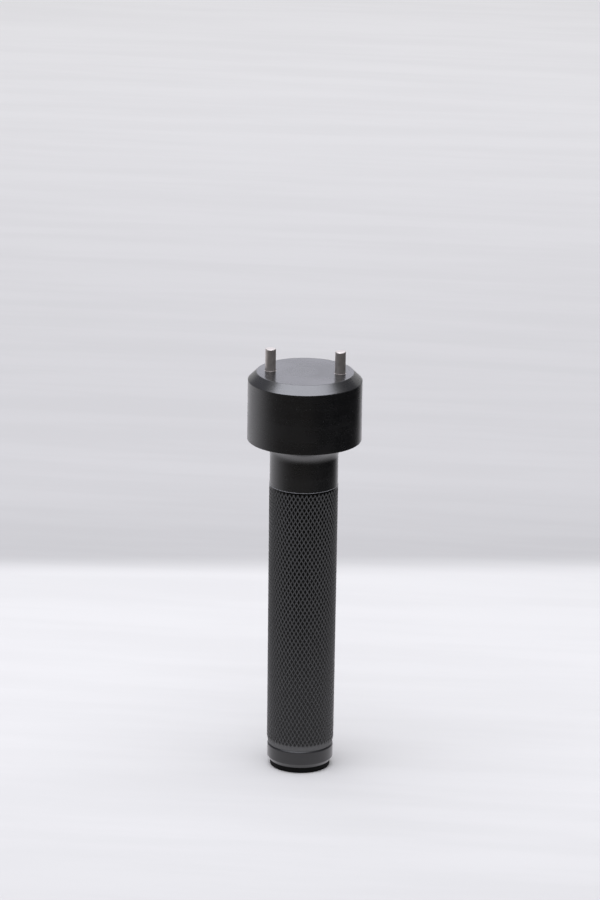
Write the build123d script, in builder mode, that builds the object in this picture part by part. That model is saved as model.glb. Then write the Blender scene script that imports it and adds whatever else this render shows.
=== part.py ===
"""Two-pin face spanner with a hollow knurled handle that stands on its end cap.

Frame: millimetres, +Z up, origin at the centre of the foot on the surface it stands on.
The two drive pins stand on the X axis. The head, the grip and the cap are turned parts on Z.
Threads are plain cylinders here, with a named clearance between the two mating walls.
"""
import os

from build123d import *

os.makedirs("parts", exist_ok=True)

# ---- Driving dimensions, millimetres -------------------------------------------------------

# Head: a turned disc with a bevelled rim, on a neck that meets it in a large fillet
head_radius = 17.2
head_height = 21.0
head_bevel_height = 2.5
head_bevel_width = 2.6
head_lower_edge_break = 0.15
neck_length = 14.0
neck_fillet = 5.2
underside_flat = 0.6

# Drive pins: hardened, with a thicker shank pressed into a blind bore up to a flush shoulder
pin_radius = 1.6
pin_proud = 6.7
pin_shank_radius = 1.85
pin_shank_length = 11.3
pin_circle_diameter = 21.0
pin_edge_break = 0.15

# Grip: a tube that tapers very slightly towards the foot
grip_length = 82.8
grip_top_radius = 10.4
grip_bottom_radius = 10.15
grip_top_bevel = 0.1
grip_end_bevel_height = 2.1
grip_end_bevel_width = 0.4
bore_radius = 7.25

# Joint between head and grip: a spigot in a socket, a web under it, two dowels across the seam
spigot_radius = 6.0
spigot_length = 6.0
spigot_clearance = 0.03
spigot_end_clearance = 0.2
web_thickness = 8.0
dowel_radius = 1.0
dowel_length = 10.0
dowel_edge_break = 0.2

# Clamp screw (M6 socket head) and its spring washer
screw_radius = 3.0
screw_length = 25.0
screw_head_radius = 5.0
screw_head_height = 6.0
screw_head_edge_break = 0.5
hex_across_flats = 5.0
hex_depth = 3.0
screw_hole_clearance = 0.3
tapped_hole_clearance = 0.02
tapped_hole_run_out = 1.6
washer_radius = 5.9
washer_thickness = 1.6
washer_hole_clearance = 0.1
washer_split = 1.0

# End cap: a plain band, a seal land and a threaded plug that screws into the grip
cap_band_step = 0.13
cap_band_height = 5.5
cap_lower_bevel_height = 1.3
cap_lower_bevel_width = 0.87
cap_upper_bevel_height = 0.45
cap_upper_bevel_width = 0.32
mouth_wall = 1.4
seal_land_height = 3.0
seal_land_clearance = 0.1
seal_bore_extra_depth = 0.2
thread_step = 0.6
thread_clearance = 0.05
plug_thread_length = 12.0
plug_end_bevel = 0.7
thread_run_out = 2.0

# Seal ring in its groove
seal_section_radius = 0.65
seal_clearance = 0.05
seal_groove_side = 0.25

# Rubber foot: a disc with a stub that plugs into the cap
foot_inset = 0.05
foot_thickness = 1.7
foot_edge_radius = 0.4
foot_stub_radius = 6.0
foot_stub_height = 1.4
foot_recess_extra_depth = 0.1

# ---- Levels up the Z axis ------------------------------------------------------------------

cap_bottom_z = foot_thickness
seat_z = cap_bottom_z + cap_band_height
seam_z = seat_z + grip_length
head_bottom_z = seam_z + neck_length
head_top_z = head_bottom_z + head_height
pin_bottom_z = head_top_z - pin_shank_length

socket_bottom_z = seam_z - spigot_length - spigot_end_clearance
web_bottom_z = socket_bottom_z - web_thickness
screw_seat_z = web_bottom_z - washer_thickness
tapped_hole_top_z = screw_seat_z + screw_length + tapped_hole_run_out

seal_land_top_z = seat_z + seal_land_height
seal_bore_top_z = seal_land_top_z + seal_bore_extra_depth
plug_top_z = seal_land_top_z + plug_thread_length
thread_top_z = plug_top_z + thread_run_out

# ---- Radii that follow from the sizes above ------------------------------------------------

neck_radius = grip_top_radius - grip_top_bevel
neck_fillet_radius = min(neck_fillet, head_radius - neck_radius - underside_flat)
grip_mouth_radius = grip_bottom_radius - grip_end_bevel_width
socket_radius = spigot_radius + spigot_clearance
dowel_circle_radius = (socket_radius + neck_radius) / 2
screw_hole_radius = screw_radius + screw_hole_clearance
washer_hole_radius = screw_radius + washer_hole_clearance

seal_bore_radius = grip_bottom_radius - mouth_wall
seal_land_radius = seal_bore_radius - seal_land_clearance
female_thread_radius = seal_bore_radius - thread_step
plug_thread_radius = female_thread_radius - thread_clearance
seal_ring_radius = seal_bore_radius - seal_clearance - seal_section_radius
seal_groove_radius = seal_ring_radius - seal_section_radius - seal_clearance
seal_groove_height = 2 * (seal_section_radius + seal_groove_side)
seal_z = seat_z + seal_land_height / 2

cap_band_radius = grip_bottom_radius - cap_band_step
cap_bottom_radius = cap_band_radius - cap_lower_bevel_width
foot_radius = cap_bottom_radius - foot_inset

# The two sides of the tool, left and right of its axis along X
left_and_right = {"left": -1, "right": 1}


def circles_at(part, level, tolerance=0.001):
    """Circular edges of a part that lie at one level."""
    rings = part.edges().filter_by(GeomType.CIRCLE)
    return rings.filter_by_position(Axis.Z, level - tolerance, level + tolerance)


# ---- Head ----------------------------------------------------------------------------------

with BuildPart() as head:
    with BuildSketch(Plane.XY.offset(head_bottom_z)):
        Circle(head_radius)
    extrude(amount=head_height)

    # Bevelled rim of the top face, and the broken lower edge
    with BuildSketch(Plane.XZ):
        with BuildLine():
            Polyline(
                (head_radius - head_bevel_width, head_top_z),
                (head_radius, head_top_z),
                (head_radius, head_top_z - head_bevel_height),
                close=True,
            )
        make_face()
    revolve(axis=Axis.Z, mode=Mode.SUBTRACT)
    chamfer(circles_at(head.part, head_bottom_z), head_lower_edge_break)

    # Neck, faired into the underside of the disc
    with BuildSketch(Plane.XY.offset(seam_z)):
        Circle(neck_radius)
    extrude(amount=neck_length)
    fillet(circles_at(head.part, head_bottom_z).sort_by(SortBy.RADIUS)[0], neck_fillet_radius)

    # Spigot that centres the head in the grip
    with BuildSketch(Plane.XY.offset(seam_z - spigot_length)):
        Circle(spigot_radius)
    extrude(amount=spigot_length)

    # Blind bores for the drive pins
    with BuildSketch(Plane.XY.offset(pin_bottom_z)):
        with PolarLocations(pin_circle_diameter / 2, 2):
            Circle(pin_shank_radius)
    extrude(amount=pin_shank_length, mode=Mode.SUBTRACT)

    # Tapped hole for the clamp screw
    with BuildSketch(Plane.XY.offset(seam_z - spigot_length)):
        Circle(screw_radius + tapped_hole_clearance)
    extrude(amount=tapped_hole_top_z - seam_z + spigot_length, mode=Mode.SUBTRACT)

    # Upper halves of the two dowel holes, in the neck's end face
    with BuildSketch(Plane.XY.offset(seam_z)):
        with PolarLocations(dowel_circle_radius, 2):
            Circle(dowel_radius)
    extrude(amount=dowel_length / 2, mode=Mode.SUBTRACT)

head.part.label = "head"
export_step(head.part, "parts/head.step")

# ---- Drive pins ----------------------------------------------------------------------------

for side, sign in left_and_right.items():
    with BuildPart() as drive_pin:
        with BuildSketch(Plane.XY.offset(pin_bottom_z)):
            with Locations((sign * pin_circle_diameter / 2, 0)):
                Circle(pin_shank_radius)
        extrude(amount=pin_shank_length)
        chamfer(circles_at(drive_pin.part, pin_bottom_z), pin_edge_break)
        with BuildSketch(Plane.XY.offset(head_top_z)):
            with Locations((sign * pin_circle_diameter / 2, 0)):
                Circle(pin_radius)
        extrude(amount=pin_proud)
        chamfer(circles_at(drive_pin.part, head_top_z + pin_proud), pin_edge_break)
    drive_pin.part.label = f"{side}_drive_pin"
    export_step(drive_pin.part, f"parts/{side}_drive_pin.step")

# ---- Grip ----------------------------------------------------------------------------------

with BuildPart() as grip_tube:
    # Outside: a slow taper, a small bevel at the seam and a long one at the mouth
    with BuildSketch(Plane.XZ):
        with BuildLine():
            Polyline(
                (0, seat_z),
                (grip_mouth_radius, seat_z),
                (grip_bottom_radius, seat_z + grip_end_bevel_height),
                (grip_top_radius, seam_z - grip_top_bevel),
                (neck_radius, seam_z),
                (0, seam_z),
                close=True,
            )
        make_face()
    revolve(axis=Axis.Z)

    # Socket for the head's spigot, above the web
    with BuildSketch(Plane.XY.offset(socket_bottom_z)):
        Circle(socket_radius)
    extrude(amount=seam_z - socket_bottom_z, mode=Mode.SUBTRACT)

    # Clearance hole through the web
    with BuildSketch(Plane.XY.offset(web_bottom_z)):
        Circle(screw_hole_radius)
    extrude(amount=web_thickness, mode=Mode.SUBTRACT)

    # Main bore, threaded length and seal bore, from the web down to the mouth
    for radius, low_z, high_z in (
        (bore_radius, thread_top_z, web_bottom_z),
        (female_thread_radius, seal_bore_top_z, thread_top_z),
        (seal_bore_radius, seat_z, seal_bore_top_z),
    ):
        with BuildSketch(Plane.XY.offset(low_z)):
            Circle(radius)
        extrude(amount=high_z - low_z, mode=Mode.SUBTRACT)

    # Lower halves of the two dowel holes, beside the socket
    with BuildSketch(Plane.XY.offset(seam_z - dowel_length / 2)):
        with PolarLocations(dowel_circle_radius, 2):
            Circle(dowel_radius)
    extrude(amount=dowel_length / 2, mode=Mode.SUBTRACT)

grip_tube.part.label = "grip_tube"
export_step(grip_tube.part, "parts/grip_tube.step")

# ---- Dowels that carry the torque across the seam ------------------------------------------

for side, sign in left_and_right.items():
    with BuildPart() as torque_dowel:
        with BuildSketch(Plane.XY.offset(seam_z - dowel_length / 2)):
            with Locations((sign * dowel_circle_radius, 0)):
                Circle(dowel_radius)
        extrude(amount=dowel_length)
        chamfer(torque_dowel.edges().filter_by(GeomType.CIRCLE), dowel_edge_break)
    torque_dowel.part.label = f"{side}_torque_dowel"
    export_step(torque_dowel.part, f"parts/{side}_torque_dowel.step")

# ---- Clamp screw ---------------------------------------------------------------------------

with BuildPart() as clamp_screw:
    with BuildSketch(Plane.XY.offset(screw_seat_z - screw_head_height)):
        Circle(screw_head_radius)
    extrude(amount=screw_head_height)
    chamfer(circles_at(clamp_screw.part, screw_seat_z - screw_head_height), screw_head_edge_break)
    with BuildSketch(Plane.XY.offset(screw_seat_z)):
        Circle(screw_radius)
    extrude(amount=screw_length)
    chamfer(circles_at(clamp_screw.part, screw_seat_z + screw_length), screw_head_edge_break)
    with BuildSketch(Plane.XY.offset(screw_seat_z - screw_head_height)):
        RegularPolygon(hex_across_flats / 2, 6, major_radius=False)
    extrude(amount=hex_depth, mode=Mode.SUBTRACT)

clamp_screw.part.label = "clamp_screw"
export_step(clamp_screw.part, "parts/clamp_screw.step")

# ---- Spring washer under the screw's head --------------------------------------------------

with BuildPart() as lock_washer:
    with BuildSketch(Plane.XY.offset(screw_seat_z)):
        Circle(washer_radius)
        Circle(washer_hole_radius, mode=Mode.SUBTRACT)
        with Locations((washer_radius / 2, 0)):
            Rectangle(washer_radius, washer_split, rotation=20, mode=Mode.SUBTRACT)
    extrude(amount=washer_thickness)

lock_washer.part.label = "lock_washer"
export_step(lock_washer.part, "parts/lock_washer.step")

# ---- End cap -------------------------------------------------------------------------------

with BuildPart() as end_cap:
    # Plain band with its two bevels
    with BuildSketch(Plane.XZ):
        with BuildLine():
            Polyline(
                (0, cap_bottom_z),
                (cap_bottom_radius, cap_bottom_z),
                (cap_band_radius, cap_bottom_z + cap_lower_bevel_height),
                (cap_band_radius, seat_z - cap_upper_bevel_height),
                (cap_band_radius - cap_upper_bevel_width, seat_z),
                (0, seat_z),
                close=True,
            )
        make_face()
    revolve(axis=Axis.Z)

    # Seal land and threaded plug
    with BuildSketch(Plane.XY.offset(seat_z)):
        Circle(seal_land_radius)
    extrude(amount=seal_land_height)
    with BuildSketch(Plane.XY.offset(seal_land_top_z)):
        Circle(plug_thread_radius)
    extrude(amount=plug_thread_length)
    chamfer(circles_at(end_cap.part, plug_top_z), plug_end_bevel)

    # Groove for the seal ring, round the land
    with BuildSketch(Plane.XY.offset(seal_z - seal_groove_height / 2)):
        Circle(seal_land_radius)
        Circle(seal_groove_radius, mode=Mode.SUBTRACT)
    extrude(amount=seal_groove_height, mode=Mode.SUBTRACT)

    # Recess for the foot's stub
    with BuildSketch(Plane.XY.offset(cap_bottom_z)):
        Circle(foot_stub_radius)
    extrude(amount=foot_stub_height + foot_recess_extra_depth, mode=Mode.SUBTRACT)

end_cap.part.label = "end_cap"
export_step(end_cap.part, "parts/end_cap.step")

# ---- Seal ring -----------------------------------------------------------------------------

with BuildPart() as cap_seal_ring:
    with BuildSketch(Plane.XZ):
        with Locations((seal_ring_radius, seal_z)):
            Circle(seal_section_radius)
    revolve(axis=Axis.Z)

cap_seal_ring.part.label = "cap_seal_ring"
export_step(cap_seal_ring.part, "parts/cap_seal_ring.step")

# ---- Rubber foot ---------------------------------------------------------------------------

with BuildPart() as foot_pad:
    with BuildSketch(Plane.XY):
        Circle(foot_radius)
    extrude(amount=foot_thickness)
    fillet(circles_at(foot_pad.part, 0), foot_edge_radius)
    with BuildSketch(Plane.XY.offset(foot_thickness)):
        Circle(foot_stub_radius)
    extrude(amount=foot_stub_height)

foot_pad.part.label = "foot_pad"
export_step(foot_pad.part, "parts/foot_pad.step")
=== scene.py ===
"""Two-pin face spanner with a knurled handle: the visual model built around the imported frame.

Every piece is worked in millimetres on its own blank and becomes an object in metres, with its place in its
mesh. Each sub-assembly of the tool is a class that holds its sizes, builds its pieces and dresses them.
"""

import logging
import math
from collections.abc import Callable, Sequence
from dataclasses import dataclass, field
from enum import Enum
from typing import Union

import bmesh
import bpy
from mathutils import Matrix, Vector


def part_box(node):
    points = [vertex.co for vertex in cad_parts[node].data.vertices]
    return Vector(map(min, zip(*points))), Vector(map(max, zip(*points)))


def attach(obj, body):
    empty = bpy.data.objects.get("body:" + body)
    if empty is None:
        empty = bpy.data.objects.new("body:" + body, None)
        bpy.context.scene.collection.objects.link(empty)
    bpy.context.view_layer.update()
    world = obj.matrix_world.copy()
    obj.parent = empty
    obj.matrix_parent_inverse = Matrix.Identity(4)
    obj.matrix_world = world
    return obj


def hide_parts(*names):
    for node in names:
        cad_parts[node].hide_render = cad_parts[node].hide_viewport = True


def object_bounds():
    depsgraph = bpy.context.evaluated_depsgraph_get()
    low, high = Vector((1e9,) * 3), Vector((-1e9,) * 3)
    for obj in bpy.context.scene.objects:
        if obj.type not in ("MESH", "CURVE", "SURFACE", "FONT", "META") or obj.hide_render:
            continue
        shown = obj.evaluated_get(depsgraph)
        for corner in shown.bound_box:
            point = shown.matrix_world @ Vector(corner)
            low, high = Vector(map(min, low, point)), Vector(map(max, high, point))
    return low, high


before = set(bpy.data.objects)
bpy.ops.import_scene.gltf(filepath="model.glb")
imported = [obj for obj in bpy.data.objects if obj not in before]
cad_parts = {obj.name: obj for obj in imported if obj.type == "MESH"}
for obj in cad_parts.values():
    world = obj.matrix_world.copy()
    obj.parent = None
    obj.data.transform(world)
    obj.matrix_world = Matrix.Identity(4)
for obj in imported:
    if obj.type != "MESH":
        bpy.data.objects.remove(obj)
CAD_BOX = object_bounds()

log = logging.getLogger("face_spanner")

MM = 0.001
FULL_TURN = 2 * math.pi
QUARTER_TURN = math.pi / 2
UP = Vector((0, 0, 1))
AXIS = (0, 0, 0)

# Edges that turn by more than this stay crisp
SHARP_FROM = math.radians(32)

# In millimetres: points this close are one point, are level with each other, lie on a cut
WELD_GAP = 0.002
LEVEL_GAP = 1e-4
CUT_GAP = 1e-5

# A softened corner longer than this, in millimetres, is worked in many flats, and a shorter one in a few
LARGE_ROUND = 1.0
LARGE_ROUND_FLATS = 16
EDGE_BREAK_FLATS = 4

# Steps round one turn of a thread
THREAD_STEPS = 64

# A corner of a turned outline: radius, height and how far its softening runs back from the corner
Station = tuple[float, float, float]
Place = tuple[float, float, float]
Colour = tuple[float, float, float]
Span = tuple[float, float]

# What a shader node takes for a number and for a colour
Signal = Union[bpy.types.NodeSocket, float]
Shade = Union[bpy.types.NodeSocket, Colour]


class Keep(Enum):
    """What is left of a blank after a cut across it."""

    ABOVE = "above"
    BELOW = "below"
    BOTH = "both"


class Side(Enum):
    """Sides of the tool, as the names of its paired pieces begin."""

    LEFT = "left"
    RIGHT = "right"


@dataclass(frozen=True)
class Extent:
    """Outer radius, lowest and highest level, and place along X of a turned piece, in millimetres."""

    radius: float
    bottom: float
    top: float
    centre: float

    @classmethod
    def of(cls, node: str) -> "Extent":
        """Reads the extent of a CAD node from the frame.

        Args:
            node: name of the node.

        Returns:
            The extent of that node about its own upright axis.
        """
        low, high = (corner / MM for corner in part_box(node))
        return cls((high.y - low.y) / 2, low.z, high.z, (low.x + high.x) / 2)


# ---- The bench: blanks and how they are worked --------------------------------------------------


class Blank:
    """A piece on the bench, in millimetres, before it becomes an object."""

    def __init__(self, steps: int = 128) -> None:
        """Starts an empty blank whose turned skins have this many steps round."""
        self.mesh = bmesh.new()
        self.steps = steps

    def turn(
        self,
        stations: Sequence[Station],
        centre: float = 0.0,
        closed: bool = False,
        arc: float = FULL_TURN,
    ) -> None:
        """Softens the corners of a half outline and spins it about an upright axis.

        Args:
            stations: the outline's corners, in order.
            centre: where the axis stands along X.
            closed: whether the outline closes on itself.
            arc: how far the outline is spun.
        """
        corners = [self.mesh.verts.new((centre + radius, 0, height)) for radius, height, _ in stations]
        pairs = list(zip(corners, corners[1:]))
        if closed:
            pairs.append((corners[-1], corners[0]))
        for pair in pairs:
            self.mesh.edges.new(pair)
        for corner, (_, _, softening) in zip(corners, stations):
            if softening:
                bmesh.ops.bevel(
                    self.mesh,
                    geom=[corner],
                    offset=softening,
                    segments=LARGE_ROUND_FLATS if softening > LARGE_ROUND else EDGE_BREAK_FLATS,
                    profile=0.5,
                    affect="VERTICES",
                    material=-1,
                )
        wire = [edge for edge in self.mesh.edges if edge.is_wire]
        points = list({point for edge in wire for point in edge.verts})
        bmesh.ops.spin(
            self.mesh,
            geom=points + wire,
            cent=(centre, 0, 0),
            axis=UP,
            dvec=(0, 0, 0),
            angle=arc,
            steps=self.steps,
            use_merge=math.isclose(arc, FULL_TURN),
        )

    def bore(self, centre: float, radius: float, opening: float, end: float, steps: int = 48) -> None:
        """Adds the wall and the floor of a blind hole that opens at a flat face.

        Args:
            centre: where the hole's axis stands along X.
            radius: radius of the hole, or of its corners where it has few steps.
            opening: level of the face it opens in.
            end: level of its floor.
            steps: sides of the hole.
        """
        shape = bmesh.ops.create_cone(
            self.mesh,
            cap_ends=True,
            segments=steps,
            radius1=radius,
            radius2=radius,
            depth=abs(end - opening),
            matrix=Matrix.Translation((centre, 0, (end + opening) / 2)),
        )
        mouth = [
            face
            for face in {face for point in shape["verts"] for face in point.link_faces}
            if all(abs(point.co.z - opening) < LEVEL_GAP for point in face.verts)
        ]
        bmesh.ops.delete(self.mesh, geom=mouth, context="FACES_KEEP_BOUNDARY")

    def close(self, level: float) -> None:
        """Fills the flat face at one level, with a hole for each bore that opens in it.

        Args:
            level: height of the face.
        """
        rims = [
            edge
            for edge in self.mesh.edges
            if edge.is_boundary and all(abs(point.co.z - level) < LEVEL_GAP for point in edge.verts)
        ]
        bmesh.ops.triangle_fill(self.mesh, edges=rims, use_beauty=True, use_dissolve=False, normal=UP)

    def cut(self, level: float, keep: Keep) -> None:
        """Cuts the blank across at a level.

        Args:
            level: height of the cut.
            keep: what is left afterwards.
        """
        bmesh.ops.bisect_plane(
            self.mesh,
            geom=self.mesh.verts[:] + self.mesh.edges[:] + self.mesh.faces[:],
            dist=CUT_GAP,
            plane_co=(0, 0, level),
            plane_no=UP,
            clear_outer=keep is Keep.BELOW,
            clear_inner=keep is Keep.ABOVE,
        )

    def weld(self, gap: float = WELD_GAP) -> None:
        """Merges points that lie on each other."""
        bmesh.ops.remove_doubles(self.mesh, verts=self.mesh.verts, dist=gap)

    def repeat(self, shift: Place, steps: int, angle: float = 0.0) -> None:
        """Adds copies of all that is on the bench, each a step further.

        Args:
            shift: how far each copy is moved.
            steps: number of copies.
            angle: how far the last copy is turned about the axis.
        """
        bmesh.ops.spin(
            self.mesh,
            geom=self.mesh.verts[:] + self.mesh.edges[:] + self.mesh.faces[:],
            cent=AXIS,
            axis=UP,
            dvec=shift,
            angle=angle,
            steps=steps,
            use_duplicate=True,
        )

    def part_off(self, name: str) -> bpy.types.Object:
        """Turns the blank into an object in metres, with its faces pointing outwards.

        Args:
            name: name of the object.

        Returns:
            The finished object, linked to the scene.
        """
        self.weld()
        bmesh.ops.recalc_face_normals(self.mesh, faces=self.mesh.faces)
        bmesh.ops.scale(self.mesh, vec=(MM, MM, MM), verts=self.mesh.verts)
        for face in self.mesh.faces:
            face.smooth = True
        for edge in self.mesh.edges:
            edge.smooth = edge.calc_face_angle(0.0) < SHARP_FROM
        mesh = bpy.data.meshes.new(name)
        self.mesh.to_mesh(mesh)
        self.mesh.free()
        piece = bpy.data.objects.new(name, mesh)
        bpy.context.scene.collection.objects.link(piece)
        return piece


@dataclass(frozen=True)
class Thread:
    """An outside thread: radii at crest and root, rise per turn, and height of the bevel at its top."""

    crest: float
    root: float
    pitch: float
    lead: float

    def cut_on(self, blank: Blank, bottom: float, top: float) -> None:
        """Cuts the thread as one continuous helical skin between two levels.

        Args:
            blank: the blank that gets the thread.
            bottom: level where the thread starts.
            top: level where the thread ends.
        """
        flat = self.pitch / 8
        turns = math.ceil((top - bottom) / self.pitch) + 2
        start = bottom - self.pitch
        outline = [
            (self.root, start),
            (self.root, start + flat),
            (self.crest, start + self.pitch / 2 - flat / 2),
            (self.crest, start + self.pitch / 2 + flat / 2),
            (self.root, start + self.pitch),
        ]
        points = [blank.mesh.verts.new((radius, 0, height)) for radius, height in outline]
        edges = [blank.mesh.edges.new(pair) for pair in zip(points, points[1:])]
        bmesh.ops.spin(
            blank.mesh,
            geom=points + edges,
            cent=AXIS,
            axis=UP,
            dvec=(0, 0, self.pitch / THREAD_STEPS),
            angle=FULL_TURN * turns,
            steps=THREAD_STEPS * turns,
        )
        blank.weld()
        blank.cut(bottom, Keep.ABOVE)
        blank.cut(top - self.lead, Keep.BOTH)
        blank.cut(top, Keep.BELOW)
        for point in blank.mesh.verts:
            limit = self.crest - max(0.0, point.co.z - (top - self.lead))
            reach = point.co.xy.length
            if reach > limit:
                point.co.xy *= limit / reach


@dataclass(frozen=True)
class DowelHoles:
    """The pair of blind holes for the torque dowels, one on each side of the axis."""

    circle: float = 8.165
    radius: float = 1.0
    steps: int = 32

    def drill(self, blank: Blank, opening: float, end: float) -> None:
        """Drills both holes.

        Args:
            blank: the blank that gets them.
            opening: level of the face they open in.
            end: level of their floors.
        """
        for side in (-1, 1):
            blank.bore(side * self.circle, self.radius, opening, end, self.steps)


# ---- Finishes -----------------------------------------------------------------------------------

# Spans that hold most of a noise's values: for clouds, and for marks, whose contrast is stronger
NOISE_SPAN = (0.3, 0.7)
MARK_SPAN = (0.35, 0.65)


class Pattern:
    """Shader nodes of one material, placed and wired in the order they are asked for."""

    def __init__(self, name: str) -> None:
        """Starts a material with its principled shader and the piece's own coordinates.

        Args:
            name: name of the material.
        """
        self.material = bpy.data.materials.new(name)
        self.material.use_nodes = True
        self.tree = self.material.node_tree
        self.shader = self.tree.nodes["Principled BSDF"]
        self.place = self.add("ShaderNodeTexCoord").outputs["Object"]
        self.split = self.add("ShaderNodeSeparateXYZ", {"Vector": self.place}).outputs

    def add(self, kind: str, inputs: dict | None = None, **settings: object) -> bpy.types.Node:
        """Adds a node.

        Args:
            kind: the node's type.
            inputs: values or sockets for its inputs, by name or number.
            settings: properties of the node.

        Returns:
            The new node.
        """
        node = self.tree.nodes.new(kind)
        for key, value in settings.items():
            setattr(node, key, value)
        for key, value in (inputs or {}).items():
            if isinstance(value, bpy.types.NodeSocket):
                self.tree.links.new(value, node.inputs[key])
            else:
                node.inputs[key].default_value = value
        return node

    def reckon(self, operation: str, first: Signal, second: Signal) -> bpy.types.NodeSocket:
        """One arithmetic step on sockets or numbers."""
        return self.add("ShaderNodeMath", {0: first, 1: second}, operation=operation).outputs[0]

    def plus(self, first: Signal, second: Signal) -> bpy.types.NodeSocket:
        """Sum of two values."""
        return self.reckon("ADD", first, second)

    def minus(self, first: Signal, second: Signal) -> bpy.types.NodeSocket:
        """Difference of two values."""
        return self.reckon("SUBTRACT", first, second)

    def times(self, first: Signal, second: Signal) -> bpy.types.NodeSocket:
        """Product of two values."""
        return self.reckon("MULTIPLY", first, second)

    def radius(self) -> bpy.types.NodeSocket:
        """Distance from the tool's axis, in metres."""
        flat = self.add("ShaderNodeCombineXYZ", {"X": self.split["X"], "Y": self.split["Y"]}).outputs[0]
        return self.add("ShaderNodeVectorMath", {0: flat}, operation="LENGTH").outputs["Value"]

    def remap(
        self, value: Signal, span: Span, onto: Span = (0.0, 1.0), curve: str = "SMOOTHSTEP"
    ) -> bpy.types.NodeSocket:
        """Maps a span of values onto another one, clamped at its ends.

        Args:
            value: the value to map.
            span: values that are mapped onto the two ends.
            onto: the two ends.
            curve: the node's kind of interpolation.

        Returns:
            The mapped value.
        """
        ends = {"From Min": span[0], "From Max": span[1], "To Min": onto[0], "To Max": onto[1]}
        node = self.add("ShaderNodeMapRange", {"Value": value, **ends}, interpolation_type=curve)
        return node.outputs["Result"]

    def noise(
        self, scale: float, detail: float = 2.0, roughness: float = 0.5, vector: object = None
    ) -> bpy.types.NodeSocket:
        """Noise of a size given in cycles per metre."""
        inputs = {"Vector": vector or self.place, "Scale": scale, "Detail": detail, "Roughness": roughness}
        return self.add("ShaderNodeTexNoise", inputs).outputs["Fac"]

    def tool_marks(self, scale: float, detail: float = 2.0) -> bpy.types.NodeSocket:
        """Noise that is the same all the way round the axis, like the marks of a turning tool."""
        section = self.add("ShaderNodeCombineXYZ", {"X": self.radius(), "Z": self.split["Z"]}).outputs[0]
        return self.noise(scale, detail, roughness=0.6, vector=section)

    def blend(self, share: Signal, first: Shade, second: Shade) -> bpy.types.NodeSocket:
        """Mixes two colours.

        Args:
            share: share of the second colour.
            first: the first colour.
            second: the second colour.

        Returns:
            The mixed colour.
        """
        node = self.add("ShaderNodeMix", {"Factor": share}, data_type="RGBA")
        for slot, value in ((6, first), (7, second)):
            if isinstance(value, bpy.types.NodeSocket):
                self.tree.links.new(value, node.inputs[slot])
            else:
                node.inputs[slot].default_value = (*value, 1)
        return node.outputs[2]

    def dim(self, colour: Shade, share: Signal) -> bpy.types.NodeSocket:
        """Dims a colour to a share of its brightness."""
        return self.add("ShaderNodeVectorMath", {0: colour, "Scale": share}, operation="SCALE").outputs[0]

    def relief(self, height: Signal, depth: float, under: Signal | None = None) -> bpy.types.NodeSocket:
        """Bump that follows a height.

        Args:
            height: the height, from 0 to 1.
            depth: how deep the bump is, in millimetres.
            under: the bump it lies over, if any.

        Returns:
            The bent normal.
        """
        inputs = {"Height": height, "Distance": depth * MM}
        if under is not None:
            inputs["Normal"] = under
        return self.add("ShaderNodeBump", inputs).outputs["Normal"]

    def set(self, **values: object) -> None:
        """Sets or wires the shader's inputs.

        Args:
            values: value or socket for each input; an underscore in a name stands for a space.
        """
        for key, value in values.items():
            socket = self.shader.inputs[key.replace("_", " ")]
            if isinstance(value, bpy.types.NodeSocket):
                self.tree.links.new(value, socket)
            elif isinstance(value, tuple) and len(value) == 3 and socket.type == "RGBA":
                socket.default_value = (*value, 1)
            else:
                socket.default_value = value


# In every finish, the scale of a pattern is given in cycles per metre and a depth in millimetres


@dataclass(frozen=True)
class TurnedAnodised:
    """Dyed anodised aluminium with the marks of the turning tool under the oxide, and specks of dust."""

    name: str
    dye: Colour = (0.0012, 0.0012, 0.0014)
    faded: Colour = (0.005, 0.005, 0.0056)
    ior: float = 1.82
    roughness: float = 0.26
    cloud_roughness: Span = (-0.03, 0.04)
    mark_roughness: Span = (-0.01, 0.01)
    clouds: float = 70
    broad_marks: float = 900
    fine_marks: float = 9000
    mark_depth: float = 0.0009
    grain: float = 12000
    grain_depth: float = 0.0009
    dust: float = 1500
    dust_span: Span = (0.66, 0.78)
    dust_cover: float = 0.2
    dust_colour: Colour = (0.11, 0.11, 0.12)

    def material(self) -> bpy.types.Material:
        """Builds the material.

        Returns:
            The material, ready to be put on a piece.
        """
        pattern = Pattern(self.name)
        fine = pattern.tool_marks(self.fine_marks, detail=3)
        broad = pattern.tool_marks(self.broad_marks)
        cloud = pattern.noise(self.clouds, detail=4, roughness=0.6)
        specks = pattern.remap(pattern.noise(self.dust, detail=3, roughness=0.65), self.dust_span)
        dust = pattern.times(specks, self.dust_cover)
        shade = pattern.blend(pattern.times(cloud, broad), self.dye, self.faded)
        rough = pattern.plus(pattern.remap(cloud, NOISE_SPAN, self.cloud_roughness), self.roughness)
        rough = pattern.plus(rough, pattern.remap(broad, MARK_SPAN, self.mark_roughness))
        grain = pattern.relief(pattern.noise(self.grain), self.grain_depth)
        pattern.set(
            Base_Color=pattern.blend(dust, shade, self.dust_colour),
            Roughness=pattern.plus(rough, dust),
            Normal=pattern.relief(fine, self.mark_depth, under=grain),
            IOR=self.ior,
        )
        return pattern.material


@dataclass(frozen=True)
class CrestLine:
    """Line of the knurl's crests between the bevels at the grip's two ends, and the depth of its grooves."""

    bottom: float = 9.3
    top: float = 89.9
    bottom_radius: float = 10.15
    top_radius: float = 10.4
    groove_depth: float = 0.24

    def radius_at(self, level: float) -> float:
        """Radius over the crests at a level."""
        share = (level - self.bottom) / (self.top - self.bottom)
        return self.bottom_radius + (self.top_radius - self.bottom_radius) * share


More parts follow.
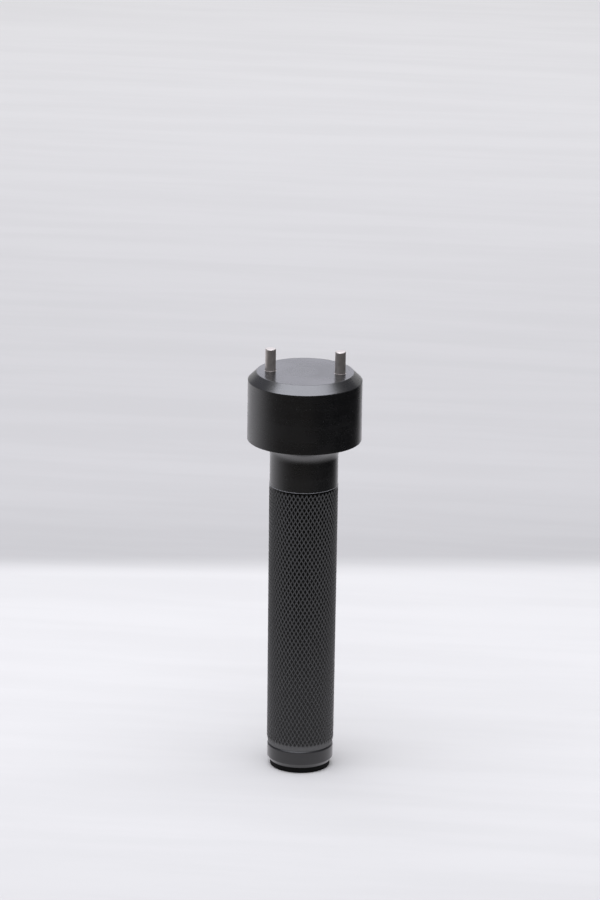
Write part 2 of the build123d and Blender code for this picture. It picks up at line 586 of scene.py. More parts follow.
@dataclass(frozen=True)
class KnurledAnodised:
    """Anodised knurling: smooth dark crests, duller grooves painted paler as a painted sheen for the light
    their flanks reflect, and a painted highlight on the edge at its top.
    """

    name: str
    crests: CrestLine = CrestLine()
    crest_colour: Colour = (0.001, 0.001, 0.001)
    # Painted sheen: the grooves are painted paler than the crests in place of the light their flanks reflect
    groove_sheen_colour: Colour = (0.078, 0.078, 0.079)
    # Painted highlight: the top of the crests and the bevel above them are painted pale for the bright ring
    # the bevel reflects
    edge_highlight_colour: Colour = (0.2, 0.2, 0.21)
    highlight_height: float = 0.02
    crest_skin: float = 0.01
    full_groove: float = 0.7
    ior: float = 1.33
    crest_roughness: float = 0.2
    groove_roughness: float = 0.6
    cloud_roughness: Span = (-0.04, 0.05)
    clouds: float = 90
    grain: float = 9000
    grain_depth: float = 0.0014

    def material(self) -> bpy.types.Material:
        """Builds the material.

        Returns:
            The material, ready to be put on a piece.
        """
        pattern = Pattern(self.name)
        crests = self.crests
        height = pattern.split["Z"]
        levels = (crests.bottom * MM, crests.top * MM)
        radii = (crests.bottom_radius * MM, crests.top_radius * MM)
        outline = pattern.remap(height, levels, radii, curve="LINEAR")
        sunk = pattern.minus(outline, pattern.radius())
        groove = pattern.remap(sunk, (self.crest_skin * MM, crests.groove_depth * self.full_groove * MM))
        cloud = pattern.noise(self.clouds, detail=4, roughness=0.6)
        # Painted sheen: the colour turns paler from the crests down into the grooves
        shade = pattern.blend(groove, self.crest_colour, self.groove_sheen_colour)
        # Painted highlight: from just below the top of the crests upwards the colour turns pale
        edge = pattern.remap(height, ((crests.top - self.highlight_height) * MM, crests.top * MM))
        rough = pattern.remap(groove, (0.0, 1.0), (self.crest_roughness, self.groove_roughness))
        pattern.set(
            Base_Color=pattern.blend(edge, shade, self.edge_highlight_colour),
            Roughness=pattern.plus(rough, pattern.remap(cloud, NOISE_SPAN, self.cloud_roughness)),
            Normal=pattern.relief(pattern.noise(self.grain), self.grain_depth),
            IOR=self.ior,
        )
        return pattern.material


@dataclass(frozen=True)
class GroundSteel:
    """Bare hardened steel with fine grinding rings round each pin, and a few stains."""

    name: str
    colour: Colour = (0.55, 0.515, 0.485)
    stained: Colour = (0.4, 0.37, 0.35)
    stains: float = 500
    stain_span: Span = (0.45, 0.75)
    stain_cover: float = 0.7
    roughness: float = 0.46
    ring_roughness: Span = (-0.03, 0.04)
    rings: float = 7000
    ring_wander: float = 0.04
    ring_depth: float = 0.0004

    def material(self) -> bpy.types.Material:
        """Builds the material.

        Returns:
            The material, ready to be put on a piece.
        """
        pattern = Pattern(self.name)
        across = pattern.times(pattern.split["X"], self.ring_wander)
        section = pattern.add("ShaderNodeCombineXYZ", {"X": across, "Z": pattern.split["Z"]}).outputs[0]
        rings = pattern.noise(self.rings, detail=3, roughness=0.65, vector=section)
        cloud = pattern.noise(self.stains, detail=3, roughness=0.6)
        stain = pattern.times(pattern.remap(cloud, self.stain_span), self.stain_cover)
        pattern.set(
            Base_Color=pattern.blend(stain, self.colour, self.stained),
            Metallic=1.0,
            Roughness=pattern.plus(pattern.remap(rings, MARK_SPAN, self.ring_roughness), self.roughness),
            Normal=pattern.relief(rings, self.ring_depth),
        )
        return pattern.material


@dataclass(frozen=True)
class OxideSteel:
    """Black oxide on a screw: matt, with a brown cast and rubbed spots."""

    name: str
    colour: Colour = (0.02, 0.019, 0.018)
    rubbed: Colour = (0.13, 0.12, 0.11)
    metallic: float = 0.6
    clouds: float = 900
    rub_span: Span = (0.52, 0.75)
    rub_cover: float = 0.5
    roughness: Span = (0.5, 0.36)
    grain: float = 6000
    grain_depth: float = 0.003

    def material(self) -> bpy.types.Material:
        """Builds the material.

        Returns:
            The material, ready to be put on a piece.
        """
        pattern = Pattern(self.name)
        cloud = pattern.noise(self.clouds, detail=4, roughness=0.65)
        rub = pattern.times(pattern.remap(cloud, self.rub_span), self.rub_cover)
        pattern.set(
            Base_Color=pattern.blend(rub, self.colour, self.rubbed),
            Metallic=self.metallic,
            Roughness=pattern.remap(cloud, NOISE_SPAN, self.roughness),
            Normal=pattern.relief(pattern.noise(self.grain, detail=3), self.grain_depth),
        )
        return pattern.material


@dataclass(frozen=True)
class Rubber:
    """Moulded black rubber: matt and slightly pitted, with pale bloom."""

    name: str
    colour: Colour = (0.0015, 0.0015, 0.0015)
    bloom: Colour = (0.004, 0.004, 0.004)
    clouds: float = 260
    bloom_span: Span = (0.45, 0.8)
    roughness: float = 0.8
    smoother: float = 0.05
    rougher: float = 0.1
    gloss: float = 0.1
    pits: float = 4200
    pit_depth: float = 0.008

    def material(self) -> bpy.types.Material:
        """Builds the material.

        Returns:
            The material, ready to be put on a piece.
        """
        pattern = Pattern(self.name)
        cloud = pattern.noise(self.clouds, detail=3, roughness=0.6)
        ends = (self.roughness - self.smoother, self.roughness + self.rougher)
        pits = pattern.noise(self.pits, detail=3, roughness=0.6)
        pattern.set(
            Base_Color=pattern.blend(pattern.remap(cloud, self.bloom_span), self.colour, self.bloom),
            Roughness=pattern.remap(cloud, NOISE_SPAN, ends),
            Normal=pattern.relief(pits, self.pit_depth),
            Specular_IOR_Level=self.gloss,
        )
        return pattern.material


class Finish(Enum):
    """Finishes of the tool, by the record's material slots."""

    HEAD = "head_anodised"
    GRIP = "grip_anodised"
    CAP = "cap_anodised"
    PIN = "drive_pin_steel"
    DOWEL = "dowel_steel"
    SCREW = "screw_steel"
    WASHER = "washer_steel"
    SEAL = "seal_rubber"
    FOOT = "foot_rubber"


CAP_ANODISED = TurnedAnodised(
    "cap black anodised",
    dye=(0.004, 0.004, 0.0045),
    faded=(0.013, 0.0125, 0.014),
    ior=1.5,
    roughness=0.34,
)
DOWEL_STEEL = GroundSteel("ground dowel steel", colour=(0.5, 0.49, 0.48), roughness=0.2)
WASHER_STEEL = GroundSteel("spring washer steel", colour=(0.4, 0.4, 0.41), roughness=0.34)

RECIPES: dict[Finish, Callable[[], bpy.types.Material]] = {
    Finish.HEAD: TurnedAnodised("head black anodised").material,
    Finish.GRIP: KnurledAnodised("knurled black anodised").material,
    Finish.CAP: CAP_ANODISED.material,
    Finish.PIN: GroundSteel("ground pin steel").material,
    Finish.DOWEL: DOWEL_STEEL.material,
    Finish.SCREW: OxideSteel("black oxide screw steel").material,
    Finish.WASHER: WASHER_STEEL.material,
    Finish.SEAL: Rubber("seal rubber", roughness=0.42, gloss=0.5, pit_depth=0.003).material,
    Finish.FOOT: Rubber("foot rubber").material,
}


class FinishShop:
    """Makes each finish once and puts it on pieces."""

    def __init__(self) -> None:
        """Starts with no finish made."""
        self.made: dict[Finish, bpy.types.Material] = {}

    def dress(self, piece: bpy.types.Object, finish: Finish, body: str, node: str) -> None:
        """Gives a piece its finish, its body and the CAD node it stands for.

        Args:
            piece: the finished mesh object.
            finish: the finish it gets.
            body: CAD body it moves with.
            node: CAD node it replaces.
        """
        if finish not in self.made:
            self.made[finish] = RECIPES[finish]()
        piece.data.materials.append(self.made[finish])
        shading = piece.modifiers.new("even shading", "WEIGHTED_NORMAL")
        shading.mode = "FACE_AREA_WITH_ANGLE"
        shading.weight = 80
        shading.keep_sharp = True
        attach(piece, body)
        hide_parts(node)
        log.info("%s rides on %s, %d faces", piece.name, body, len(piece.data.polygons))


# ---- Head and drive pins ------------------------------------------------------------------------


@dataclass
class HeadUnit:
    """Turned head with its neck and spigot, and the two pins pressed into its face."""

    shop: FinishShop
    neck_radius: float = 10.3
    neck_bottom: float = 90.0
    disc_bottom: float = 104.0
    rim_bevel_width: float = 2.6
    rim_bevel_height: float = 2.5
    rim_softening: float = 0.12
    edge_break: float = 0.15
    neck_fillet: float = 5.2
    seam_softening: float = 0.06
    top_lip: float = 0.7
    neck_lip: float = 0.5
    spigot_radius: float = 6.0
    spigot_lip: float = 0.3
    spigot_softening: float = 0.2
    tapped_radius: float = 3.02
    tapped_top: float = 100.8
    drill_point: float = 1.2
    pin_radius: float = 1.6
    pin_edge_break: float = 0.15
    pin_softening: float = 0.09
    shank_softening: float = 0.05
    shoulder_depth: float = 0.08
    shoulder_softening: float = 0.04
    dowel_holes: DowelHoles = DowelHoles()
    dowel_top: float = 95.0
    extent: Extent = field(default_factory=lambda: Extent.of("head"))

    def build(self) -> None:
        """Builds the head and both pins."""
        self.head()
        for side in Side:
            self.drive_pin(side)

    def head(self) -> None:
        """Turns the disc, neck and spigot, and opens the bores in its two flat faces."""
        rim = self.extent.radius
        top = self.extent.top
        blank = Blank(steps=192)
        blank.turn(
            [
                (rim - self.rim_bevel_width - self.top_lip, top, 0),
                (rim - self.rim_bevel_width, top, self.rim_softening),
                (rim, top - self.rim_bevel_height, self.rim_softening),
                (rim, self.disc_bottom, self.edge_break),
                (self.neck_radius, self.disc_bottom, self.neck_fillet),
                (self.neck_radius, self.neck_bottom, self.seam_softening),
                (self.neck_radius - self.neck_lip, self.neck_bottom, 0),
            ]
        )
        blank.turn(
            [
                (self.spigot_radius + self.spigot_lip, self.neck_bottom, 0),
                (self.spigot_radius, self.neck_bottom, 0),
                (self.spigot_radius, self.extent.bottom, self.spigot_softening),
                (self.tapped_radius, self.extent.bottom, self.spigot_softening),
                (self.tapped_radius, self.tapped_top, 0),
                (0, self.tapped_top + self.drill_point, 0),
            ]
        )
        for side in Side:
            pin = Extent.of(f"{side.value}_drive_pin")
            blank.bore(pin.centre, pin.radius, top, pin.bottom)
        self.dowel_holes.drill(blank, self.neck_bottom, self.dowel_top)
        blank.weld()
        blank.close(top)
        blank.close(self.neck_bottom)
        self.shop.dress(blank.part_off("head_disc"), Finish.HEAD, "handle", "head")

    def drive_pin(self, side: Side) -> None:
        """Turns one stepped pin: shank in the head, shoulder sunk just below the face, pin above it.

        Args:
            side: side of the tool the pin stands on.
        """
        node = f"{side.value}_drive_pin"
        pin = Extent.of(node)
        shoulder = self.extent.top - self.shoulder_depth
        blank = Blank(steps=64)
        blank.turn(
            [
                (0, pin.bottom, 0),
                (pin.radius - self.pin_edge_break, pin.bottom, self.shank_softening),
                (pin.radius, pin.bottom + self.pin_edge_break, self.shank_softening),
                (pin.radius, shoulder, self.shank_softening),
                (self.pin_radius, shoulder, self.shoulder_softening),
                (self.pin_radius, pin.top - self.pin_edge_break, self.pin_softening),
                (self.pin_radius - self.pin_edge_break, pin.top, self.pin_softening),
                (0, pin.top, 0),
            ],
            centre=pin.centre,
        )
        self.shop.dress(blank.part_off(f"{side.value}_pin"), Finish.PIN, "handle", node)


# ---- Grip ---------------------------------------------------------------------------------------


@dataclass
class GripUnit:
    """Tapered tube with cut diamond knurling over nearly its whole length."""

    shop: FinishShop
    crests: CrestLine = CrestLine()
    mouth_radius: float = 9.75
    neck_radius: float = 10.3
    starts: int = 50
    rise: float = 2.25
    spare_rows: int = 2
    first_row: float = 0.6
    groove_half_width: float = 0.215
    crest_softening: float = 0.03
    crest_softening_depth: float = 0.021
    collar: float = 0.5
    run_out: float = 0.18
    bore_radius: float = 7.25
    bore_softening: float = 0.15
    thread_softening: float = 0.2
    mouth_softening: float = 0.12
    mouth_lip: float = 0.2
    socket_lip: float = 0.35
    bore_bottom: float = 24.2
    thread_radius: float = 8.15
    thread_bottom: float = 10.4
    seal_bore_radius: float = 8.75
    web_bottom: float = 75.8
    web_top: float = 83.8
    screw_hole: float = 3.3
    socket_radius: float = 6.03
    dowel_holes: DowelHoles = DowelHoles()
    dowel_bottom: float = 85.0
    extent: Extent = field(default_factory=lambda: Extent.of("grip_tube"))

    def build(self) -> None:
        """Builds the grip."""
        blank = Blank(steps=144)
        self.knurl(blank)
        self.bore_out(blank)
        blank.weld()
        blank.close(self.extent.top)
        blank.close(self.extent.bottom)
        self.shop.dress(blank.part_off("knurled_grip"), Finish.GRIP, "handle", "grip_tube")

    def depth_share(self, level: float) -> float:
        """Share of the full groove depth at a level: the grooves run out below a plain collar."""
        return min(1.0, max(0.0, (self.crests.top - self.collar - level) / self.run_out))

    def bevelled(self, level: float) -> float:
        """Radius that the bevels at the two ends leave at a level.

        Args:
            level: height on the grip.

        Returns:
            The smaller of the two bevels' radii there.
        """
        flare = (self.crests.bottom_radius - self.mouth_radius) / (self.crests.bottom - self.extent.bottom)
        at_top = self.neck_radius + self.extent.top - level
        at_mouth = self.mouth_radius + (level - self.extent.bottom) * flare
        return min(at_top, at_mouth)

    def knurl(self, blank: Blank) -> None:
        """Cuts one pair of columns of diamonds flat, bends them round and repeats them about the axis.

        Args:
            blank: the blank that gets the knurl.
        """
        mesh = blank.mesh
        crests = self.crests
        nominal = (crests.top_radius + crests.bottom_radius) / 2
        half_width = math.pi * nominal / self.starts
        rows = math.ceil((self.extent.top - self.extent.bottom) / self.rise) + self.spare_rows
        diamond = bmesh.ops.create_circle(mesh, cap_ends=True, segments=4, radius=1.0)["verts"]
        bmesh.ops.scale(mesh, vec=(half_width, self.rise / 2, 1), verts=diamond)
        bmesh.ops.rotate(mesh, cent=AXIS, matrix=Matrix.Rotation(QUARTER_TURN, 3, "X"), verts=diamond)
        bmesh.ops.translate(mesh, vec=(0, 0, self.extent.top + self.rise * self.first_row), verts=diamond)
        blank.repeat((half_width, 0, -self.rise / 2), 1)
        blank.repeat((0, 0, -self.rise), rows)
        diamonds = mesh.faces[:]
        for width, rise in (
            (self.groove_half_width, crests.groove_depth - self.crest_softening_depth),
            (self.crest_softening, self.crest_softening_depth),
        ):
            bmesh.ops.inset_individual(
                mesh,
                faces=diamonds,
                thickness=width,
                depth=rise,
                use_even_offset=True,
            )
        blank.weld(LEVEL_GAP)
        blank.cut(self.extent.bottom, Keep.ABOVE)
        for level in (
            crests.bottom,
            (crests.bottom + self.extent.bottom) / 2,
            crests.top,
            crests.top - self.collar,
            crests.top - self.collar - self.run_out,
        ):
            blank.cut(level, Keep.BOTH)
        blank.cut(self.extent.top, Keep.BELOW)
        for point in mesh.verts:
            across, height, level = point.co.x, -point.co.y, point.co.z
            turn = across / nominal
            sunk = (crests.groove_depth - height) * self.depth_share(level)
            radius = min(crests.radius_at(level) - sunk, self.bevelled(level))
            point.co = (radius * math.sin(turn), -radius * math.cos(turn), level)
        blank.repeat((0, 0, 0), self.starts - 1, FULL_TURN * (self.starts - 1) / self.starts)
        blank.weld()

    def bore_out(self, blank: Blank) -> None:
        """Adds the stepped bore, the web with its screw hole, the socket and the dowel holes.

        Args:
            blank: the blank that gets them.
        """
        top = self.extent.top
        mouth = self.extent.bottom
        blank.turn(
            [
                (self.socket_radius + self.socket_lip, top, 0),
                (self.socket_radius, top, self.bore_softening),
                (self.socket_radius, self.web_top, 0),
                (self.screw_hole, self.web_top, self.bore_softening),
                (self.screw_hole, self.web_bottom, self.bore_softening),
                (self.bore_radius, self.web_bottom, 0),
                (self.bore_radius, self.bore_bottom, self.thread_softening),
                (self.thread_radius, self.bore_bottom, 0),
                (self.thread_radius, self.thread_bottom, self.bore_softening),
                (self.seal_bore_radius, self.thread_bottom, 0),
                (self.seal_bore_radius, mouth, self.mouth_softening),
                (self.seal_bore_radius + self.mouth_lip, mouth, 0),
            ]
        )
        self.dowel_holes.drill(blank, top, self.dowel_bottom)


# ---- End cap, seal ring and foot ----------------------------------------------------------------


@dataclass
class EndCapUnit:
    """Screwed end cap with its seal ring and its rubber foot."""

    shop: FinishShop
    seat: float = 7.2
    lower_bevel_width: float = 0.87
    lower_bevel_height: float = 1.3
    base_softening: float = 0.12
    lower_softening: float = 0.15
    upper_bevel_width: float = 0.32
    upper_bevel_height: float = 0.45
    upper_softening: float = 0.1
    seat_softening: float = 0.08
    land_radius: float = 8.65
    land_top: float = 10.2
    land_softening: float = 0.1
    land_lip: float = 0.3
    groove_radius: float = 7.35
    groove_half_height: float = 0.9
    groove_softening: float = 0.15
    seal_level: float = 8.7
    thread: Thread = Thread(crest=8.1, root=7.25, pitch=1.5, lead=0.7)
    recess_radius: float = 6.0
    recess_softening: float = 0.1
    recess_top: float = 3.2
    seal_section: float = 0.65
    seal_section_flats: int = 28
    seal_circle: float = 8.05
    foot_edge: float = 0.4
    foot_top_softening: float = 0.08
    stub_radius: float = 6.0
    stub_root_softening: float = 0.05
    stub_softening: float = 0.2
    extent: Extent = field(default_factory=lambda: Extent.of("end_cap"))

    def build(self) -> None:
        """Builds the cap, the seal ring and the foot."""
        self.cap()
        self.seal_ring()
        self.foot()

    def cap(self) -> None:
        """Turns the band and the seal land, and cuts the plug's thread."""
        band = self.extent.radius
        base = self.extent.bottom
        blank = Blank(steps=160)
        groove_bottom = self.seal_level - self.groove_half_height
        groove_top = self.seal_level + self.groove_half_height
        self.thread.cut_on(blank, self.land_top, self.extent.top)
        blank.close(self.extent.top)
        blank.turn(
            [
                (0, self.recess_top, 0),
                (self.recess_radius, self.recess_top, 0),
                (self.recess_radius, base, self.recess_softening),
                (band - self.lower_bevel_width, base, self.base_softening),
                (band, base + self.lower_bevel_height, self.lower_softening),
                (band, self.seat - self.upper_bevel_height, self.upper_softening),
                (band - self.upper_bevel_width, self.seat, self.seat_softening),
                (self.land_radius, self.seat, 0),
                (self.land_radius, groove_bottom, self.land_softening),
                (self.groove_radius, groove_bottom, self.groove_softening),
                (self.groove_radius, groove_top, self.groove_softening),
                (self.land_radius, groove_top, self.land_softening),
                (self.land_radius, self.land_top, self.groove_softening),
                (self.land_radius - self.land_lip, self.land_top, 0),
            ]
        )
        blank.close(self.land_top)
        self.shop.dress(blank.part_off("threaded_end_cap"), Finish.CAP, "cap", "end_cap")

    def seal_ring(self) -> None:
        """Spins a round section into the seal ring."""
        blank = Blank(steps=120)
        ring = bmesh.ops.create_circle(blank.mesh, segments=self.seal_section_flats, radius=self.seal_section)
        section = ring["verts"]
        bmesh.ops.rotate(blank.mesh, cent=AXIS, matrix=Matrix.Rotation(QUARTER_TURN, 3, "X"), verts=section)
        bmesh.ops.translate(blank.mesh, vec=(self.seal_circle, 0, self.seal_level), verts=section)
        blank.turn([])
        self.shop.dress(blank.part_off("seal_ring"), Finish.SEAL, "seal", "cap_seal_ring")

    def foot(self) -> None:
        """Turns the foot disc with its rounded edge and its stub."""
        foot = Extent.of("foot_pad")
        blank = Blank(steps=128)
        blank.turn(
            [
                (0, foot.bottom, 0),
                (foot.radius, foot.bottom, self.foot_edge),
                (foot.radius, self.extent.bottom, self.foot_top_softening),
                (self.stub_radius, self.extent.bottom, self.stub_root_softening),
                (self.stub_radius, foot.top, self.stub_softening),
                (0, foot.top, 0),
            ]
        )
        self.shop.dress(blank.part_off("rubber_foot"), Finish.FOOT, "cap", "foot_pad")


# ---- Fastening inside the handle ----------------------------------------------------------------


@dataclass
class Fastening:
    """Socket-head clamp screw, spring washer and the two torque dowels."""

    shop: FinishShop
    head_height: float = 6.0
    head_bevel: float = 0.3
    head_softening: float = 0.1
    seat_softening: float = 0.12
    thread: Thread = Thread(crest=3.0, root=2.45, pitch=1.0, lead=0.5)
    thread_length: float = 14.0
    shank_lip: float = 0.02
    hex_flats: float = 5.0
    hex_depth: float = 3.0
    hex_lip: float = 0.4
    washer_hole: float = 3.1
    washer_split: float = 1.0
    washer_softening: float = 0.12
    split_turn: float = math.radians(20)
    dowel_edge: float = 0.2
    dowel_softening: float = 0.05

    def build(self) -> None:
        """Builds the screw, the washer and both dowels."""
        self.clamp_screw()
        self.lock_washer()
        for side in Side:
            self.torque_dowel(side)

    def clamp_screw(self) -> None:
        """Turns the screw's head and shank, sinks its hexagon and cuts its thread."""
        screw = Extent.of("clamp_screw")
        seat = screw.bottom + self.head_height
        shank_end = screw.top - self.thread_length
        hex_corner = self.hex_flats / 2 / math.cos(math.pi / 6)
        blank = Blank(steps=64)
        self.thread.cut_on(blank, shank_end, screw.top)
        blank.close(screw.top)
        blank.turn(
            [
                (hex_corner + self.hex_lip, screw.bottom, 0),
                (screw.radius - self.head_bevel, screw.bottom, self.head_softening),
                (screw.radius, screw.bottom + self.head_bevel, self.head_softening),
                (screw.radius, seat, self.seat_softening),
                (self.thread.crest, seat, self.head_softening),
                (self.thread.crest, shank_end, 0),
                (self.thread.crest - self.shank_lip, shank_end, 0),
            ]
        )
        blank.bore(0, hex_corner, screw.bottom, screw.bottom + self.hex_depth, 6)
        blank.weld(LEVEL_GAP)
        blank.close(screw.bottom)
        blank.close(shank_end)
        self.shop.dress(blank.part_off("socket_screw"), Finish.SCREW, "handle", "clamp_screw")

    def lock_washer(self) -> None:
        """Spins a rounded rectangular section nearly all the way round and closes its two cut ends."""
        washer = Extent.of("lock_washer")
        middle = (washer.radius + self.washer_hole) / 2
        gap = self.washer_split / middle
        blank = Blank(steps=90)
        blank.turn(
            [
                (self.washer_hole, washer.bottom, self.washer_softening),
                (washer.radius, washer.bottom, self.washer_softening),
                (washer.radius, washer.top, self.washer_softening),
                (self.washer_hole, washer.top, self.washer_softening),
            ],
            closed=True,
            arc=FULL_TURN - gap,
        )
        bmesh.ops.holes_fill(blank.mesh, edges=[edge for edge in blank.mesh.edges if edge.is_boundary])
        turn = Matrix.Rotation(self.split_turn + gap / 2, 3, "Z")
        bmesh.ops.rotate(blank.mesh, cent=AXIS, matrix=turn, verts=blank.mesh.verts)
        self.shop.dress(blank.part_off("spring_washer"), Finish.WASHER, "handle", "lock_washer")

    def torque_dowel(self, side: Side) -> None:
        """Turns one dowel with its two broken edges.

        Args:
            side: side of the tool the dowel stands on.
        """
        node = f"{side.value}_torque_dowel"
        dowel = Extent.of(node)
        blank = Blank(steps=48)
        blank.turn(
            [
                (0, dowel.bottom, 0),
                (dowel.radius - self.dowel_edge, dowel.bottom, self.dowel_softening),
                (dowel.radius, dowel.bottom + self.dowel_edge, self.dowel_softening),
                (dowel.radius, dowel.top - self.dowel_edge, self.dowel_softening),
                (dowel.radius - self.dowel_edge, dowel.top, self.dowel_softening),
                (0, dowel.top, 0),
            ],
            centre=dowel.centre,
        )
        self.shop.dress(blank.part_off(f"{side.value}_dowel"), Finish.DOWEL, "handle", node)


# ---- Studio -------------------------------------------------------------------------------------


def slab(name: str, low: Span, high: Span, level: float = 0.0) -> bpy.types.Object:
    """Makes a flat rectangle, in metres.

    Args:
        name: name of the object.
        low: its lowest X and Y.
        high: its highest X and Y.
        level: its height.

    Returns:
        The object, marked as stage.
    """
    mesh = bmesh.new()
    bmesh.ops.create_grid(mesh, x_segments=1, y_segments=1, size=0.5)
    bmesh.ops.scale(mesh, vec=(high[0] - low[0], high[1] - low[1], 1), verts=mesh.verts)
    centre = ((low[0] + high[0]) / 2, (low[1] + high[1]) / 2, level)
    bmesh.ops.translate(mesh, vec=centre, verts=mesh.verts)
    data = bpy.data.meshes.new(name)
    mesh.to_mesh(data)
    mesh.free()
    flat = bpy.data.objects.new(name, data)
    bpy.context.scene.collection.objects.link(flat)
    return flat


def reflect(card: bpy.types.Object, pattern: Pattern, glow: Shade) -> None:
    """Gives a card its own glow and hides it from everything but reflections.

    Args:
        card: the card.
        pattern: the material it gets.
        glow: colour of the glow.
    """
    pattern.set(
        Base_Color=(0.0, 0.0, 0.0),
        Specular_IOR_Level=0.0,
        Emission_Color=glow,
        Emission_Strength=1.0,
    )
    card.data.materials.append(pattern.material)
    card.visible_camera = False
    card.visible_diffuse = False
    card.visible_shadow = False
    card.visible_transmission = False


@dataclass(frozen=True)
class SoftLight:
    """A soft rectangular light aimed at the tool."""

    name: str
    place: Place
    size: Span
    power: float
    colour: Colour

    def hang(self, target: Vector) -> None:
        """Hangs the light at its place.

        Args:
            target: point it faces.
        """
        lamp = bpy.data.lights.new(self.name, "AREA")
        lamp.shape = "RECTANGLE"
        lamp.size, lamp.size_y = self.size
        lamp.energy = self.power
        lamp.color = self.colour
        light = bpy.data.objects.new(self.name, lamp)
        light.location = self.place
        light.rotation_euler = (target - Vector(self.place)).to_track_quat("-Z", "Y").to_euler()
        bpy.context.scene.collection.objects.link(light)


@dataclass(frozen=True)
class Card:
    """An upright rectangle with an even glow that only reflections see."""

    name: str
    glow: Colour
    place: Place
    reach: Span
    turn: float = 0.0

    def stand(self) -> None:
        """Stands the card at its place, turned about the upright."""
        card = slab(self.name, (-self.reach[0], -self.reach[1]), self.reach)
        upright = Matrix.Rotation(self.turn, 4, "Z") @ Matrix.Rotation(QUARTER_TURN, 4, "X")
        card.data.transform(Matrix.Translation(self.place) @ upright)
        reflect(card, Pattern(self.name), self.glow)


@dataclass(frozen=True)
class FloorCard:
    """Floor glow for reflections: bright round and behind the tool, dim in front, dark on the right."""

    low: Span = (-2.5, -3.0)
    high: Span = (2.5, 1.2)
    level: float = 0.0006
    dark: Colour = (0.008, 0.009, 0.01)
    dim: Colour = (0.075, 0.07, 0.066)
    lit: Colour = (0.83, 0.82, 0.86)
    near: Colour = (1.16, 1.14, 1.2)
    back_fade: Span = (-0.28, 0.18)
    right_fade: Span = (0.08, 0.28)
    near_fade: Span = (0.06, 0.15)

    def lay(self) -> None:
        """Lays the card just above the floor."""
        pattern = Pattern("floor card")
        back = pattern.remap(pattern.split["Y"], self.back_fade)
        left = pattern.remap(pattern.split["X"], self.right_fade, (1.0, 0.0))
        near = pattern.remap(pattern.radius(), self.near_fade, (1.0, 0.0))
        room = pattern.blend(left, self.dark, self.dim)
        room = pattern.blend(pattern.times(back, left), room, self.lit)
        card = slab("floor card", self.low, self.high, self.level)
        reflect(card, pattern, pattern.blend(near, room, self.near))


@dataclass(frozen=True)
class Floor:
    """Pale floor: a light board in front and a slightly darker backdrop behind its slanting edge."""

    low: Span = (-4, -4)
    high: Span = (4, 6)
    board: Colour = (0.516, 0.509, 0.496)
    board_fade: Span = (-0.35, 0.1)
    board_shade: Span = (0.74, 1.0)
    edge: float = 0.1906
    edge_slant: float = 0.1452
    edge_blur: float = 0.012
    edge_shade: Span = (0.88, 1.0)
    edge_shade_width: float = 0.12
    back: Colour = (0.425, 0.418, 0.411)
    far: Colour = (0.725, 0.716, 0.704)
    far_fade: Span = (0.25, 1.15)
    streaks: float = 6
    streak_stretch: Place = (1.0, 9.0, 1.0)
    streak_tone: Colour = (0.965, 0.965, 0.965)
    plain_tone: Colour = (1.0, 1.0, 1.0)
    roughness: float = 0.7

    def lay(self) -> None:
        """Lays the floor at the tool's foot."""
        pattern = Pattern("pale board")
        depth = pattern.split["Y"]
        stretched = pattern.add("ShaderNodeMapping", {"Vector": pattern.place, "Scale": self.streak_stretch})
        streaks = pattern.noise(self.streaks, detail=5, roughness=0.6, vector=stretched.outputs[0])
        slanted = pattern.minus(depth, pattern.times(pattern.split["X"], self.edge_slant))
        behind = pattern.remap(slanted, (self.edge - self.edge_blur, self.edge + self.edge_blur))
        edge_shade = pattern.remap(slanted, (self.edge, self.edge + self.edge_shade_width), self.edge_shade)
        backdrop = pattern.blend(pattern.remap(depth, self.far_fade), self.back, self.far)
        board = pattern.dim(self.board, pattern.remap(depth, self.board_fade, self.board_shade))
        shade = pattern.blend(behind, board, pattern.dim(backdrop, edge_shade))
        tone = pattern.blend(pattern.remap(streaks, MARK_SPAN), self.streak_tone, self.plain_tone)
        toned = pattern.add("ShaderNodeVectorMath", {0: shade, 1: tone}, operation="MULTIPLY").outputs[0]
        pattern.set(Base_Color=toned, Roughness=self.roughness, Specular_IOR_Level=0.0)
        slab("floor", self.low, self.high).data.materials.append(pattern.material)


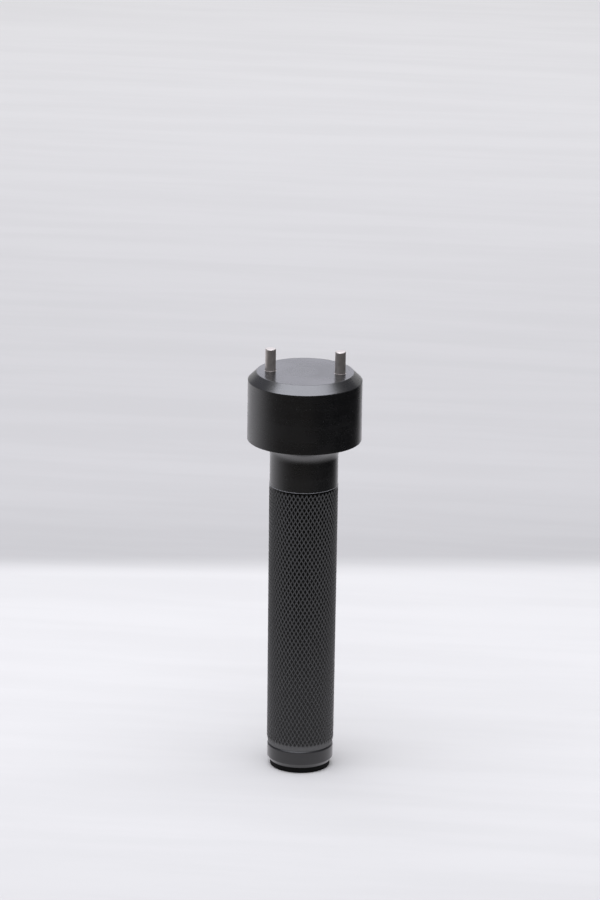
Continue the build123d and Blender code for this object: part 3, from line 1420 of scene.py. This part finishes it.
@dataclass(frozen=True)
class Camera:
    """Long-lens camera that looks down at the tool with a slight roll."""

    lens: float = 212.0
    sensor: float = 36.0
    sight: Span = (0.01, 50.0)
    distance: float = 1.5197
    height: float = 0.57806
    azimuth: float = math.radians(5.7)
    pitch: float = math.radians(17.45)
    roll: float = math.radians(0.807)
    aim_offset: float = 0.001256

    def set_up(self) -> None:
        """Places the camera and makes it the scene's own."""
        data = bpy.data.cameras.new("camera")
        data.lens = self.lens
        data.sensor_width = self.sensor
        data.clip_start, data.clip_end = self.sight
        forwards = Vector((-math.sin(self.azimuth), math.cos(self.azimuth), 0))
        to_right = Vector((math.cos(self.azimuth), math.sin(self.azimuth), 0))
        place = Vector((0, 0, self.height)) - forwards * self.distance
        aim_height = self.height - self.distance * math.tan(self.pitch)
        aim = Vector((0, 0, aim_height)) - to_right * self.aim_offset
        turn = (aim - place).to_track_quat("-Z", "Y").to_matrix() @ Matrix.Rotation(self.roll, 3, "Z")
        camera = bpy.data.objects.new("camera", data)
        camera.location = place
        camera.rotation_euler = turn.to_euler()
        bpy.context.scene.collection.objects.link(camera)
        bpy.context.scene.camera = camera


@dataclass(frozen=True)
class Studio:
    """Pale floor, one softbox, cards that only reflections see, an even pale room and the camera."""

    floor: Floor = Floor()
    floor_card: FloorCard = FloorCard()
    cards: tuple[Card, ...] = (
        Card("back panel", glow=(1.52, 1.52, 1.7), place=(-0.16, 1.6, 0.95), reach=(0.6, 0.5)),
        Card("front wall", glow=(0.075, 0.07, 0.066), place=(0, -2.4, 0.7), reach=(2.5, 0.7)),
        Card(
            "left wall",
            glow=(0.32, 0.32, 0.36),
            place=(-2.2, 0.2, 1.35),
            reach=(2.6, 1.1),
            turn=QUARTER_TURN,
        ),
        Card(
            "right wall",
            glow=(0.17, 0.17, 0.19),
            place=(2.0, 0.2, 1.35),
            reach=(2.6, 1.1),
            turn=QUARTER_TURN,
        ),
    )
    softbox: SoftLight = SoftLight(
        "overhead softbox",
        place=(-0.07, -0.16, 1.05),
        size=(1.2, 1.3),
        power=19.6,
        colour=(0.955, 0.97, 1.08),
    )
    room_tone: Colour = (0.66, 0.66, 0.67)
    camera: Camera = Camera()

    def build(self) -> None:
        """Sets up the floor, the cards, the room, the light and the camera."""
        self.floor.lay()
        for card in self.cards:
            card.stand()
        self.floor_card.lay()
        self.room()
        low, high = CAD_BOX
        self.softbox.hang((low + high) / 2)
        self.camera.set_up()
        bpy.context.scene.view_settings.view_transform = "Standard"
        log.info("studio is set")

    def room(self) -> None:
        """Gives the room its even pale tone."""
        world = bpy.data.worlds.new("pale room")
        world.use_nodes = True
        background = world.node_tree.nodes["Background"]
        background.inputs["Color"].default_value = (*self.room_tone, 1)
        background.inputs["Strength"].default_value = 1.0
        bpy.context.scene.world = world


def main() -> None:
    """Builds the sub-assemblies in order, then the studio."""
    logging.basicConfig(level=logging.INFO, format="%(name)s: %(message)s")
    shop = FinishShop()
    for unit in (EndCapUnit(shop), GripUnit(shop), Fastening(shop), HeadUnit(shop), Studio()):
        unit.build()


if __name__ == "__main__":
    main()
